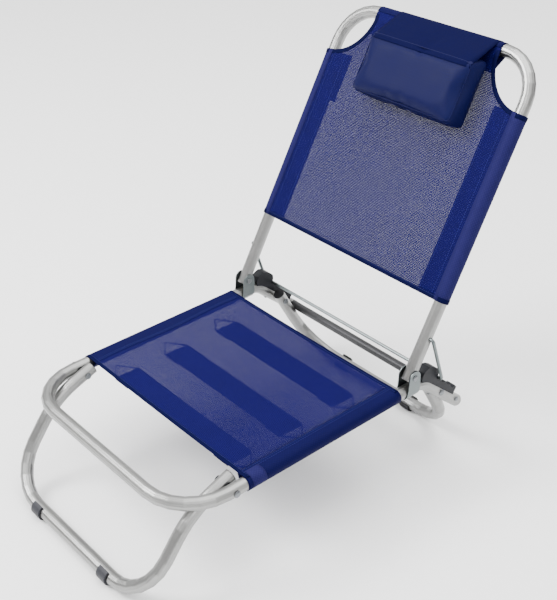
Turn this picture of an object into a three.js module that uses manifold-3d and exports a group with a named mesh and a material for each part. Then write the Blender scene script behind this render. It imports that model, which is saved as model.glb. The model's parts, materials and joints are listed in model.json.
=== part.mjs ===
import * as THREE from "three";
import { mergeVertices } from "three/addons/utils/BufferGeometryUtils.js";
import Module from "manifold-3d";

// Low folding beach lounger. Millimetres, +Z up, the sitter faces -Y.
// Shapes are drawn with y = 0 at the front bar and z = 0 at the floor; place() centres them at the end.

const wasm = await Module();
wasm.setup();

const CENTRE_Y = 332.9;

const TUBE_R = 11;
const BORE_R = 9.9;
const PLUG_R = 8.8;
const GAP = 0.3;
const TUBE_SIDES = 16;
const BORE_SIDES = 8;
const WIRE_SIDES = 8;
const PIN_SIDES = 10;
const SLEEVE_SIDES = 20;
const BEND_STEPS = 6;
const WIRE_BEND_STEPS = 4;
const HOOK_BEND_STEPS = 2;
const WELD = 1e-4;
const DRILL_REACH = 20;

// Seat frame: a U of tube, its rails rising gently to the back and then bent down into two tails.
const RAIL_X = 213.3;
const FRONT_BAR_Z = 162.7;
const RAIL_SLOPE = 0.03;
const FRONT_CORNER_R = 84;
const KNEE_Y = 495.1;
const KNEE_R = 40;
const TAIL_ANGLE = THREE.MathUtils.degToRad(39.85);
const TAIL_END = 126.5;

// Backrest frame: a taller U, hinged above the rails.
const HINGE = { y: 467.1, z: 204.2 };
const RECLINE = THREE.MathUtils.degToRad(28.77);
const BACK_LENGTH = 539.2;
const BACK_CORNER_R = 70;
const BACK_TAIL = 9;

// Legs: two U frames of the same tube, hung on the inner sides of the rails.
const LEG_X = 189.3;
const FRONT_PIVOT = { y: 94.5, z: 165.5 };
const FRONT_FOOT = { y: -60.8, z: 13.8 };
const FRONT_UPPER_ANGLE = THREE.MathUtils.degToRad(22);
const FRONT_LOWER_ANGLE = THREE.MathUtils.degToRad(53.5);
const FRONT_KNEE_R = 150;
const FRONT_LEG_CORNER_R = 78;
const REAR_PIVOT = { y: 539.5, z: 141.8 };
const REAR_FOOT = { y: 613.3, z: 13.8 };
const REAR_LEG_CORNER_R = 85;
const LEG_OVERHANG = 17;

const CROSS_TUBE = { y: 580.2, z: 110, r: 8, bore: 4 };

// Stay: one bent wire that props the backrest on the ratchets.
const STAY_WIRE_R = 3;
const STAY_X = RAIL_X + 16;
const STAY_HOLE_UP = 68.6;
const STAY_HOLE_FROM = 1;
const STAY_HOLE_GAP = 0.4;
const NOTCH = { y: 531, z: 175.3 };
const STAY_HOOK_R = 4.2;
const STAY_CORNER_R = 6;
const STAY_TIP_X = RAIL_X + 3;

const RATCHET_WIDTH = 18;

const FABRIC = 1.5;
const SLEEVE_R = TUBE_R + 0.4;
const SEAT_CLOTH = { front: 117, rear: 438 };
const STRAP = { thickness: 1.2, width: 46, leftEnd: -138, rightEnd: 178, fronts: [119, 222, 333] };
const HOOK = {
  wire: 1.2,
  leftApex: -165,
  rightApex: 198,
  halfBase: 24,
  inset: 8,
  slit: 1,
  bend: 2.5,
  sides: 6,
};

// Backrest cloth, measured along the tube from the hinge.
const BACK_CLOTH = { bottom: 131, sleeveTop: 452, topHalf: 138 };

const PILLOW = { x: 18, halfWidth: 118, low: 394, high: 506, back: 14, depth: 46, edge: 16, edgeSteps: 3 };
const FLAP = { halfWidth: 117, low: 509, backAngle: THREE.MathUtils.degToRad(115), steps: 10 };

const CLIP = {
  inner: TUBE_R + GAP,
  outer: 14.6,
  length: 22,
  frontX: 97,
  rearX: 88,
  frontMouth: THREE.MathUtils.degToRad(45),
  rearMouth: THREE.MathUtils.degToRad(110),
  halfWrap: THREE.MathUtils.degToRad(115),
  steps: 20,
  ribDepth: 0.9,
};

const group = new THREE.Group();
group.name = "folding_beach_lounger";

const LOOKS = {
  aluminium: { color: 0xbfc2c4, roughness: 0.35, metalness: 0.9 },
  steel: { color: 0x9fa6a5, roughness: 0.45, metalness: 0.85 },
  darkSteel: { color: 0x4a4d50, roughness: 0.5, metalness: 0.6 },
  rivet: { color: 0x8d9293, roughness: 0.4, metalness: 0.9 },
  plastic: { color: 0x3a3c42, roughness: 0.6, metalness: 0 },
  blackPlastic: { color: 0x1b1c1f, roughness: 0.6, metalness: 0 },
  nylon: { color: 0xd8d6cc, roughness: 0.5, metalness: 0 },
  mesh: { color: 0x2b2f86, roughness: 0.85, metalness: 0 },
  webbing: { color: 0x1a2268, roughness: 0.9, metalness: 0 },
  cushion: { color: 0x1c2a80, roughness: 0.7, metalness: 0 },
};

const vec = (x, y, z) => new THREE.Vector3(x, y, z);

function railZ(y) {
  return FRONT_BAR_Z + RAIL_SLOPE * y;
}

// A point on the backrest: t up the tube from the hinge, n out of the front face.
function backPoint(x, t, n) {
  const y = HINGE.y + t * Math.sin(RECLINE) - n * Math.cos(RECLINE);
  const z = HINGE.z + t * Math.cos(RECLINE) + n * Math.sin(RECLINE);
  return vec(x, y, z);
}

// A point beside a tail: s down the tail from the notch, n up from the tail's axis.
function tailPoint(s, n) {
  const kneeZ = railZ(KNEE_Y);
  const notchN = (NOTCH.y - KNEE_Y) * Math.sin(TAIL_ANGLE) + (NOTCH.z - kneeZ) * Math.cos(TAIL_ANGLE);
  const y = NOTCH.y + s * Math.cos(TAIL_ANGLE) + (n - notchN) * Math.sin(TAIL_ANGLE);
  const z = NOTCH.z - s * Math.sin(TAIL_ANGLE) + (n - notchN) * Math.cos(TAIL_ANGLE);
  return { y, z };
}

// A line of straight runs whose corners are rounded with arcs.
function roundedPath(corners, steps) {
  const points = [corners[0].at];
  for (let i = 1; i < corners.length - 1; i += 1) {
    const at = corners[i].at;
    const toPrevious = corners[i - 1].at.clone().sub(at).normalize();
    const toNext = corners[i + 1].at.clone().sub(at).normalize();
    const half = toPrevious.angleTo(toNext) / 2;
    const centre = toPrevious.clone().add(toNext).normalize();
    centre.multiplyScalar(corners[i].radius / Math.sin(half)).add(at);
    const start = at.clone().addScaledVector(toPrevious, corners[i].radius / Math.tan(half));
    const arm = start.clone().sub(centre);
    const axis = toNext.clone().cross(toPrevious).normalize();
    const sweep = Math.PI - 2 * half;
    for (let k = 0; k <= steps; k += 1) {
      const turned = arm.clone().applyAxisAngle(axis, (sweep * k) / steps);
      points.push(centre.clone().add(turned));
    }
  }
  points.push(corners[corners.length - 1].at);
  return points;
}

// A curve that steps from one given point to the next, so that straight runs cost a single step.
class StepCurve extends THREE.Curve {
  constructor(points) {
    super();
    this.points = points;
  }

  getPointAt(t, target = new THREE.Vector3()) {
    const last = this.points.length - 1;
    return target.copy(this.points[Math.min(last, Math.round(t * last))]);
  }

  getTangentAt(t, target = new THREE.Vector3()) {
    const last = this.points.length - 1;
    const i = Math.min(last, Math.round(t * last));
    const before = this.points[Math.max(0, i - 1)];
    const here = this.points[i];
    const after = this.points[Math.min(last, i + 1)];
    const incoming = here.clone().sub(before).normalize();
    const outgoing = after.clone().sub(here).normalize();
    return target.copy(incoming.add(outgoing).normalize());
  }
}

function ring(radius, sides) {
  const points = [];
  for (let k = 0; k < sides; k += 1) {
    const a = ((k + 0.5) * 2 * Math.PI) / sides;
    points.push(new THREE.Vector2(radius * Math.cos(a), radius * Math.sin(a)));
  }
  return points;
}

function tube(points, outer, bore, sides = TUBE_SIDES) {
  const section = new THREE.Shape(ring(outer, sides));
  if (bore > 0) {
    section.holes.push(new THREE.Path(ring(bore, BORE_SIDES)));
  }
  const path = new StepCurve(points);
  return new THREE.ExtrudeGeometry(section, { steps: points.length - 1, extrudePath: path });
}

function plate(outline, holes, depth) {
  const shape = new THREE.Shape(outline.map(([a, b]) => new THREE.Vector2(a, b)));
  for (const hole of holes) {
    shape.holes.push(new THREE.Path(hole));
  }
  return new THREE.ExtrudeGeometry(shape, { depth, steps: 1, bevelEnabled: false });
}

// Turns a plate drawn in (y, z) into a slab of the given width centred on x.
function sideSlab(outline, x, width) {
  const basis = new THREE.Matrix4().makeBasis(vec(0, 1, 0), vec(0, 0, 1), vec(1, 0, 0));
  const slab = plate(outline, [], width);
  slab.applyMatrix4(basis);
  slab.translate(x - width / 2, 0, 0);
  return slab;
}

// The head of a pin narrows towards its crown and stands straight for a share of its depth.
const CROWN = 0.65;
const SHOULDER = 0.35;

// A turned pin with a head at each end; headFar or headNear of 0 leaves that end plain.
function turnedPin(length, shaft, headNear, headFar, headDepth) {
  const half = length / 2;
  const profile = [new THREE.Vector2(0, -half - (headNear > 0 ? headDepth : 0))];
  if (headNear > 0) {
    profile.push(new THREE.Vector2(headNear * CROWN, -half - headDepth));
    profile.push(new THREE.Vector2(headNear, -half - headDepth * SHOULDER));
    profile.push(new THREE.Vector2(headNear, -half));
  }
  profile.push(new THREE.Vector2(shaft, -half));
  profile.push(new THREE.Vector2(shaft, half));
  if (headFar > 0) {
    profile.push(new THREE.Vector2(headFar, half));
    profile.push(new THREE.Vector2(headFar, half + headDepth * SHOULDER));
    profile.push(new THREE.Vector2(headFar * CROWN, half + headDepth));
  }
  profile.push(new THREE.Vector2(0, half + (headFar > 0 ? headDepth : 0)));
  return new THREE.LatheGeometry(profile, PIN_SIDES);
}

function collar(outer, bore, length) {
  const half = length / 2;
  const profile = [
    new THREE.Vector2(bore, -half),
    new THREE.Vector2(outer, -half),
    new THREE.Vector2(outer, half),
    new THREE.Vector2(bore, half),
    new THREE.Vector2(bore, -half),
  ];
  return new THREE.LatheGeometry(profile, PIN_SIDES);
}

// Stands a lathe solid, whose axis is +Y, along the direction given, with its middle at the point.
function stand(geometry, middle, direction) {
  const turn = new THREE.Quaternion().setFromUnitVectors(vec(0, 1, 0), direction.clone().normalize());
  geometry.applyQuaternion(turn);
  geometry.translate(middle.x, middle.y, middle.z);
  return geometry;
}

function drill(radius, from, to) {
  const span = to.clone().sub(from);
  const rod = new THREE.CylinderGeometry(radius, radius, span.length(), PIN_SIDES);
  return stand(rod, from.clone().addScaledVector(span, 0.5), span);
}

function signedVolume(positions, index) {
  const [p, q, r] = [vec(0, 0, 0), vec(0, 0, 0), vec(0, 0, 0)];
  let sum = 0;
  for (let i = 0; i < index.length; i += 3) {
    p.fromArray(positions, 3 * index[i]);
    q.fromArray(positions, 3 * index[i + 1]);
    r.fromArray(positions, 3 * index[i + 2]);
    sum += p.dot(q.cross(r)) / 6;
  }
  return sum;
}

// Welds a geometry's corners and hands it over as a solid that faces out, whichever way it was drawn.
function toManifold(geometry) {
  const bare = new THREE.BufferGeometry();
  bare.setAttribute("position", geometry.getAttribute("position"));
  bare.setIndex(geometry.getIndex());
  const merged = mergeVertices(bare, WELD);
  const index = merged.getIndex().array;
  const vertProperties = new Float32Array(merged.getAttribute("position").array);
  const inward = signedVolume(vertProperties, index) < 0;
  const kept = [];
  for (let i = 0; i < index.length; i += 3) {
    const [a, b, c] = [index[i], index[i + 1], index[i + 2]];
    if (a !== b && b !== c && c !== a) {
      kept.push(a, inward ? c : b, inward ? b : c);
    }
  }
  return new wasm.Manifold(new wasm.Mesh({ numProp: 3, vertProperties, triVerts: new Uint32Array(kept) }));
}

function fromManifold(solid) {
  const mesh = solid.getMesh();
  const geometry = new THREE.BufferGeometry();
  geometry.setAttribute("position", new THREE.BufferAttribute(new Float32Array(mesh.vertProperties), 3));
  geometry.setIndex(new THREE.BufferAttribute(new Uint32Array(mesh.triVerts), 1));
  return geometry;
}

function cut(geometry, tools) {
  let solid = toManifold(geometry);
  for (const tool of tools) {
    solid = solid.subtract(toManifold(tool));
  }
  return fromManifold(solid);
}

function join(geometries) {
  let solid = toManifold(geometries[0]);
  for (const extra of geometries.slice(1)) {
    solid = solid.add(toManifold(extra));
  }
  return fromManifold(solid);
}

function common(first, second) {
  return fromManifold(toManifold(first).intersect(toManifold(second)));
}

function place(name, geometry, look) {
  const solid = fromManifold(toManifold(geometry));
  solid.translate(0, -CENTRE_Y, 0);
  solid.computeVertexNormals();
  const mesh = new THREE.Mesh(solid, new THREE.MeshStandardMaterial(LOOKS[look]));
  mesh.name = name;
  group.add(mesh);
}

const SIDES = [
  { tag: "left", sign: -1 },
  { tag: "right", sign: 1 },
];

// ---- Seat frame ----

function seatPath() {
  const kneeZ = railZ(KNEE_Y);
  const endY = KNEE_Y + TAIL_END * Math.cos(TAIL_ANGLE);
  const endZ = kneeZ - TAIL_END * Math.sin(TAIL_ANGLE);
  return roundedPath([
    { at: vec(-RAIL_X, endY, endZ) },
    { at: vec(-RAIL_X, KNEE_Y, kneeZ), radius: KNEE_R },
    { at: vec(-RAIL_X, 0, FRONT_BAR_Z), radius: FRONT_CORNER_R },
    { at: vec(RAIL_X, 0, FRONT_BAR_Z), radius: FRONT_CORNER_R },
    { at: vec(RAIL_X, KNEE_Y, kneeZ), radius: KNEE_R },
    { at: vec(RAIL_X, endY, endZ) },
  ], BEND_STEPS);
}

const LEG_RIVET = { shaft: 3, head: 6, depth: 2 };
const WASHER_R = 7;
const SCREW = { shaft: 2.2, head: 4.6, depth: 1.8, reach: 20 };
const BRACKET = { inner: TUBE_R + GAP, outer: TUBE_R + GAP + 1.5, ear: 12.5, front: 449, rear: 480, steps: 12 };
const BRACKET_RIVET = { shaft: 2, head: 4.2, depth: 1.3, y: 469, top: -7.5, holeLow: -21.8, holeTop: -5 };
const RATCHET_PEG = { shaft: 1.6, head: 3.6, depth: 1.2, s: 9, top: 16, tipGap: 0.6, railReach: 14 };
const HINGE_PIN = { shaft: 2.6, head: 5.6, depth: 1.8 };
const HINGE_BUSH = { outer: 5, endGap: 2.2 };

// The bracket's side view between its foot and the rounded ear, as [y, z].
const BRACKET_SIDE = [[453.6, 186], [450, 172], [452, 158], [474, 158], [479, 172], [481.1, 188]];

function acrossRail(sign, point, radius) {
  const inner = vec(sign * (RAIL_X - DRILL_REACH), point.y, point.z);
  const outer = vec(sign * (RAIL_X + DRILL_REACH), point.y, point.z);
  return drill(radius, inner, outer);
}

// The hole for the blind rivet that holds the bracket under the rail.
function bracketRivetHole(sign) {
  const axis = railZ(BRACKET_RIVET.y);
  const low = vec(sign * RAIL_X, BRACKET_RIVET.y, axis + BRACKET_RIVET.holeLow);
  const high = vec(sign * RAIL_X, BRACKET_RIVET.y, axis + BRACKET_RIVET.holeTop);
  return drill(BRACKET_RIVET.shaft + GAP, low, high);
}

const tailUp = vec(0, Math.sin(TAIL_ANGLE), Math.cos(TAIL_ANGLE));

function pegLine(sign, low, high) {
  const foot = tailPoint(RATCHET_PEG.s, low);
  const head = tailPoint(RATCHET_PEG.s, high);
  return [vec(sign * RAIL_X, foot.y, foot.z), vec(sign * RAIL_X, head.y, head.z)];
}

const seatHoles = [];
for (const { sign } of SIDES) {
  seatHoles.push(acrossRail(sign, FRONT_PIVOT, LEG_RIVET.shaft + GAP));
  seatHoles.push(acrossRail(sign, REAR_PIVOT, LEG_RIVET.shaft + GAP));
  seatHoles.push(acrossRail(sign, CROSS_TUBE, SCREW.shaft + GAP));
  const pegHole = pegLine(sign, -RATCHET_PEG.railReach, RATCHET_PEG.railReach);
  seatHoles.push(drill(RATCHET_PEG.shaft + GAP, ...pegHole));
  seatHoles.push(bracketRivetHole(sign));
}
place("seat_frame_tube", cut(tube(seatPath(), TUBE_R, BORE_R), seatHoles), "aluminium");

place("cross_tube", tube([
  vec(-(RAIL_X - TUBE_R - GAP), CROSS_TUBE.y, CROSS_TUBE.z),
  vec(RAIL_X - TUBE_R - GAP, CROSS_TUBE.y, CROSS_TUBE.z),
], CROSS_TUBE.r, CROSS_TUBE.bore), "darkSteel");

const PLUG_DEPTH = 8;
const SEAT_PLUG_DOME = 5;
const LEG_PLUG_DOME = 1.2;

// The plug's dome from rim to crown, as shares of the tube's radius and of the dome's depth.
const DOME = [[1, 0], [0.86, 0.6], [0.5, 0.9], [0, 1]];

// Domed plug in the end of a tube; the direction points out of the tube.
function endPlug(end, direction, domeDepth) {
  const profile = [
    new THREE.Vector2(0, -PLUG_DEPTH),
    new THREE.Vector2(PLUG_R, -PLUG_DEPTH),
    new THREE.Vector2(PLUG_R, GAP),
  ];
  for (const [across, up] of DOME) {
    profile.push(new THREE.Vector2(TUBE_R * across, GAP + domeDepth * up));
  }
  return stand(new THREE.LatheGeometry(profile, TUBE_SIDES), end, direction);
}

// The ratchet's hump and hooked nose as [y, z], low enough at the front to pass under the reclined tube.
const RATCHET_HUMP = [
  [489, 180], [489.5, 193], [493.5, 200], [499.5, 203.6], [507, 206.2], [514, 204.3], [523, 199], [529.3, 193.2],
  [530.2, 185], [526.8, 175.5],
];
const RATCHET_FRONT_FOOT = [503, 164];

// Teeth behind the first notch as [s, n]; they stay under the path that the wire takes as it moves back.
const RATCHET_TEETH = [
  [-2.6, 17.9], [3.2, 17.9], [6.5, 19.3], [11.5, 20.5], [12.5, 17.9], [20.5, 17.9], [23.5, 21.4], [28.5, 21.7],
  [29.5, 17.9], [37.5, 17.9], [40.5, 20.3], [45.5, 19.2], [46.5, 17.4], [55.2, 17.4], [57, 23], [64, 21.5],
  [66, 5],
];

function ratchet(sign) {
  const teeth = RATCHET_TEETH.map(([s, n]) => tailPoint(s, n)).map(({ y, z }) => [y, z]);
  const outline = [...RATCHET_HUMP, ...teeth, RATCHET_FRONT_FOOT];
  const body = sideSlab(outline, sign * RAIL_X, RATCHET_WIDTH);
  const saddle = tube(seatPath(), TUBE_R + GAP, 0);
  const pegHole = drill(RATCHET_PEG.shaft + GAP, ...pegLine(sign, 0, RATCHET_PEG.top + RATCHET_PEG.tipGap));
  return cut(body, [saddle, pegHole]);
}

// U-shaped strap folded round the rail from below, with two ears that carry the hinge pin.
function hingeBracket(sign) {
  const top = HINGE.z + BRACKET.ear;
  const axis = railZ(BRACKET_RIVET.y);
  const section = [[-BRACKET.outer, top]];
  for (let k = 0; k <= BRACKET.steps; k += 1) {
    const a = Math.PI + (Math.PI * k) / BRACKET.steps;
    section.push([BRACKET.outer * Math.cos(a), axis + BRACKET.outer * Math.sin(a)]);
  }
  section.push([BRACKET.outer, top], [BRACKET.inner, top]);
  for (let k = BRACKET.steps; k >= 0; k -= 1) {
    const a = Math.PI + (Math.PI * k) / BRACKET.steps;
    section.push([BRACKET.inner * Math.cos(a), axis + BRACKET.inner * Math.sin(a)]);
  }
  section.push([-BRACKET.inner, top]);
  const length = BRACKET.rear - BRACKET.front;
  const channel = plate(section, [], length);
  channel.applyMatrix4(new THREE.Matrix4().makeBasis(vec(1, 0, 0), vec(0, 0, 1), vec(0, 1, RAIL_SLOPE)));
  const back = RAIL_SLOPE * (BRACKET_RIVET.y - BRACKET.front);
  channel.translate(sign * RAIL_X, BRACKET.front, -back);
  const ear = [];
  for (let k = 0; k <= BRACKET.steps; k += 1) {
    const a = (Math.PI * k) / BRACKET.steps;
    ear.push([HINGE.y + BRACKET.ear * Math.cos(a), HINGE.z + BRACKET.ear * Math.sin(a)]);
  }
  const shaped = common(channel, sideSlab([...ear, ...BRACKET_SIDE], sign * RAIL_X, 2 * DRILL_REACH));
  return cut(shaped, [acrossRail(sign, HINGE, HINGE_PIN.shaft + GAP), bracketRivetHole(sign)]);
}

for (const { tag, sign } of SIDES) {
  const endY = KNEE_Y + TAIL_END * Math.cos(TAIL_ANGLE);
  const endZ = railZ(KNEE_Y) - TAIL_END * Math.sin(TAIL_ANGLE);
  const down = vec(0, Math.cos(TAIL_ANGLE), -Math.sin(TAIL_ANGLE));
  const tailEnd = vec(sign * RAIL_X, endY, endZ);
  place(`seat_end_plug_${tag}`, endPlug(tailEnd, down, SEAT_PLUG_DOME), "aluminium");
  place(`ratchet_${tag}`, ratchet(sign), "plastic");
  const pegLow = -TUBE_R - GAP;
  const pegMiddle = tailPoint(RATCHET_PEG.s, (pegLow + RATCHET_PEG.top) / 2);
  const peg = turnedPin(RATCHET_PEG.top - pegLow, RATCHET_PEG.shaft, RATCHET_PEG.head, 0, RATCHET_PEG.depth);
  place(`ratchet_rivet_${tag}`, stand(peg, vec(sign * RAIL_X, pegMiddle.y, pegMiddle.z), tailUp), "rivet");
  place(`hinge_bracket_${tag}`, hingeBracket(sign), "steel");
  const underside = railZ(BRACKET_RIVET.y) - BRACKET.outer - GAP;
  const tip = railZ(BRACKET_RIVET.y) + BRACKET_RIVET.top;
  const blind = turnedPin(tip - underside, BRACKET_RIVET.shaft, BRACKET_RIVET.head, 0, BRACKET_RIVET.depth);
  const blindAt = vec(sign * RAIL_X, BRACKET_RIVET.y, (tip + underside) / 2);
  place(`bracket_rivet_${tag}`, stand(blind, blindAt, vec(0, 0, 1)), "rivet");
  const { shaft, head, depth } = HINGE_PIN;
  const pin = turnedPin(2 * (BRACKET.outer + GAP), shaft, head, head, depth);
  place(`hinge_rivet_${tag}`, stand(pin, vec(sign * RAIL_X, HINGE.y, HINGE.z), vec(1, 0, 0)), "rivet");
  const bush = collar(HINGE_BUSH.outer, HINGE_PIN.shaft + GAP, 2 * (BORE_R - HINGE_BUSH.endGap));
  place(`hinge_bush_${tag}`, stand(bush, vec(sign * RAIL_X, HINGE.y, HINGE.z), vec(1, 0, 0)), "nylon");
  const screwOuter = RAIL_X + TUBE_R + GAP;
  const screwInner = RAIL_X - TUBE_R - SCREW.reach;
  const screw = turnedPin(screwOuter - screwInner, SCREW.shaft, 0, SCREW.head, SCREW.depth);
  const screwAt = vec((sign * (screwOuter + screwInner)) / 2, CROSS_TUBE.y, CROSS_TUBE.z);
  place(`cross_tube_screw_${tag}`, stand(screw, screwAt, vec(sign, 0, 0)), "rivet");
}

// ---- Backrest frame and stay ----

const stayHole = backPoint(0, STAY_HOLE_UP, 0);
const backHoles = [];
for (const { sign } of SIDES) {
  backHoles.push(acrossRail(sign, HINGE, HINGE_PIN.shaft + GAP));
  const inside = vec(sign * (RAIL_X + STAY_HOLE_FROM), stayHole.y, stayHole.z);
  const outside = vec(sign * (RAIL_X + DRILL_REACH), stayHole.y, stayHole.z);
  backHoles.push(drill(STAY_WIRE_R + STAY_HOLE_GAP, inside, outside));
}
const backTube = tube(roundedPath([
  { at: backPoint(-RAIL_X, -BACK_TAIL, 0) },
  { at: backPoint(-RAIL_X, BACK_LENGTH, 0), radius: BACK_CORNER_R },
  { at: backPoint(RAIL_X, BACK_LENGTH, 0), radius: BACK_CORNER_R },
  { at: backPoint(RAIL_X, -BACK_TAIL, 0) },
], BEND_STEPS + 1), TUBE_R, BORE_R);
place("backrest_tube", cut(backTube, backHoles), "aluminium");

place("stay_wire", tube(roundedPath([
  { at: vec(-STAY_TIP_X, stayHole.y, stayHole.z) },
  { at: vec(-STAY_X, stayHole.y, stayHole.z), radius: STAY_HOOK_R },
  { at: vec(-STAY_X, NOTCH.y, NOTCH.z), radius: STAY_CORNER_R },
  { at: vec(STAY_X, NOTCH.y, NOTCH.z), radius: STAY_CORNER_R },
  { at: vec(STAY_X, stayHole.y, stayHole.z), radius: STAY_HOOK_R },
  { at: vec(STAY_TIP_X, stayHole.y, stayHole.z) },
], WIRE_BEND_STEPS), STAY_WIRE_R, 0, WIRE_SIDES), "steel");

// ---- Legs ----

function legCorner() {
  const upper = vec(0, Math.cos(FRONT_UPPER_ANGLE), Math.sin(FRONT_UPPER_ANGLE));
  const lower = vec(0, Math.cos(FRONT_LOWER_ANGLE), Math.sin(FRONT_LOWER_ANGLE));
  const dy = FRONT_PIVOT.y - FRONT_FOOT.y;
  const dz = FRONT_PIVOT.z - FRONT_FOOT.z;
  const along = (dy * upper.z - dz * upper.y) / (lower.y * upper.z - lower.z * upper.y);
  return { upper, y: FRONT_FOOT.y + along * lower.y, z: FRONT_FOOT.z + along * lower.z };
}

const frontKnee = legCorner();
const frontTop = {
  y: FRONT_PIVOT.y + LEG_OVERHANG * frontKnee.upper.y,
  z: FRONT_PIVOT.z + LEG_OVERHANG * frontKnee.upper.z,
};
const rearRise = vec(0, REAR_PIVOT.y - REAR_FOOT.y, REAR_PIVOT.z - REAR_FOOT.z).normalize();
const rearTop = {
  y: REAR_PIVOT.y + LEG_OVERHANG * rearRise.y,
  z: REAR_PIVOT.z + LEG_OVERHANG * rearRise.z,
};

function legHoles(pivot) {
  return SIDES.map(({ sign }) => drill(
    LEG_RIVET.shaft + GAP,
    vec(sign * (LEG_X - DRILL_REACH), pivot.y, pivot.z),
    vec(sign * (LEG_X + DRILL_REACH), pivot.y, pivot.z),
  ));
}

const frontLeg = tube(roundedPath([
  { at: vec(-LEG_X, frontTop.y, frontTop.z) },
  { at: vec(-LEG_X, frontKnee.y, frontKnee.z), radius: FRONT_KNEE_R },
  { at: vec(-LEG_X, FRONT_FOOT.y, FRONT_FOOT.z), radius: FRONT_LEG_CORNER_R },
  { at: vec(LEG_X, FRONT_FOOT.y, FRONT_FOOT.z), radius: FRONT_LEG_CORNER_R },
  { at: vec(LEG_X, frontKnee.y, frontKnee.z), radius: FRONT_KNEE_R },
  { at: vec(LEG_X, frontTop.y, frontTop.z) },
], BEND_STEPS), TUBE_R, BORE_R);
place("front_leg_tube", cut(frontLeg, legHoles(FRONT_PIVOT)), "aluminium");

const rearLeg = tube(roundedPath([
  { at: vec(-LEG_X, rearTop.y, rearTop.z) },
  { at: vec(-LEG_X, REAR_FOOT.y, REAR_FOOT.z), radius: REAR_LEG_CORNER_R },
  { at: vec(LEG_X, REAR_FOOT.y, REAR_FOOT.z), radius: REAR_LEG_CORNER_R },
  { at: vec(LEG_X, rearTop.y, rearTop.z) },
], BEND_STEPS), TUBE_R, BORE_R);
place("rear_leg_tube", cut(rearLeg, legHoles(REAR_PIVOT)), "aluminium");

// No rib is cut where the clip's surface turns to face the floor.
const SOLE_LIMIT = -0.9;

// C-shaped foot that grips the foot bar, with a flat sole; the mouth opens up towards the other leg.
function footClip(x, foot, mouthAngle, ribs) {
  const outline = [];
  const start = mouthAngle + Math.PI - CLIP.halfWrap;
  const step = (2 * CLIP.halfWrap) / CLIP.steps;
  for (let k = 0; k <= CLIP.steps; k += 1) {
    const a = start + step * k;
    const clearOfSole = Math.sin(a) > SOLE_LIMIT;
    const radius = CLIP.outer - (ribs && k % 2 === 1 && clearOfSole ? CLIP.ribDepth : 0);
    const z = Math.max(radius * Math.sin(a), -foot.z);
    outline.push([foot.y + radius * Math.cos(a), foot.z + z]);
  }
  for (let k = CLIP.steps; k >= 0; k -= 1) {
    const a = start + step * k;
    outline.push([foot.y + CLIP.inner * Math.cos(a), foot.z + CLIP.inner * Math.sin(a)]);
  }
  return sideSlab(outline, x, CLIP.length);
}

for (const { tag, sign } of SIDES) {
  const pairs = [
    { leg: "front", pivot: FRONT_PIVOT, top: frontTop, up: frontKnee.upper },
    { leg: "rear", pivot: REAR_PIVOT, top: rearTop, up: rearRise },
  ];
  for (const { leg, pivot, top, up } of pairs) {
    const outer = RAIL_X + TUBE_R + GAP;
    const inner = LEG_X - TUBE_R - GAP;
    const rivet = turnedPin(outer - inner, LEG_RIVET.shaft, LEG_RIVET.head, LEG_RIVET.head, LEG_RIVET.depth);
    const rivetAt = vec((sign * (outer + inner)) / 2, pivot.y, pivot.z);
    place(`${leg}_leg_rivet_${tag}`, stand(rivet, rivetAt, vec(1, 0, 0)), "rivet");
    const slot = RAIL_X - LEG_X - 2 * TUBE_R;
    const washer = collar(WASHER_R, LEG_RIVET.shaft + GAP, slot - 2 * GAP);
    const washerAt = vec(sign * (LEG_X + TUBE_R + slot / 2), pivot.y, pivot.z);
    place(`${leg}_leg_washer_${tag}`, stand(washer, washerAt, vec(1, 0, 0)), "blackPlastic");
    place(`${leg}_leg_plug_${tag}`, endPlug(vec(sign * LEG_X, top.y, top.z), up, LEG_PLUG_DOME), "blackPlastic");
  }
  place(`front_foot_${tag}`, footClip(sign * CLIP.frontX, FRONT_FOOT, CLIP.frontMouth, false), "plastic");
  place(`rear_foot_${tag}`, footClip(sign * CLIP.rearX, REAR_FOOT, CLIP.rearMouth, true), "blackPlastic");
}

// ---- Seat cloth, straps and hooks ----

// How far the sleeve runs round the rail, and where the panel's underside starts.
const SLEEVE = { wrap: 1.78 * Math.PI, steps: 14, panelFrom: 0.8 * SLEEVE_R };

function seatCloth() {
  const outer = SLEEVE_R + FABRIC;
  const outline = [];
  for (let k = 0; k <= SLEEVE.steps; k += 1) {
    const a = Math.PI / 2 - (SLEEVE.wrap * k) / SLEEVE.steps;
    outline.push([RAIL_X + outer * Math.cos(a), outer * Math.sin(a)]);
  }
  outline.push([RAIL_X - SLEEVE.panelFrom, SLEEVE_R]);
  const mirrored = outline.map(([a, b]) => [-a, b]).reverse();
  const bore = ring(SLEEVE_R, TUBE_SIDES);
  const bores = SIDES.map(({ sign }) => bore.map((p) => p.clone().setX(p.x + sign * RAIL_X)));
  const cloth = plate([...outline, ...mirrored], bores, SEAT_CLOTH.rear - SEAT_CLOTH.front);
  cloth.applyMatrix4(new THREE.Matrix4().makeBasis(vec(1, 0, 0), vec(0, 0, 1), vec(0, 1, RAIL_SLOPE)));
  cloth.translate(0, SEAT_CLOTH.front, railZ(SEAT_CLOTH.front));
  return cloth;
}

place("seat_cloth", seatCloth(), "mesh");

const STRAP_NAMES = ["front", "middle", "rear"];
const STRAP_ENDS = [
  { tag: "left", base: STRAP.leftEnd + HOOK.inset, apex: HOOK.leftApex },
  { tag: "right", base: STRAP.rightEnd - HOOK.inset, apex: HOOK.rightApex },
];

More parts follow.
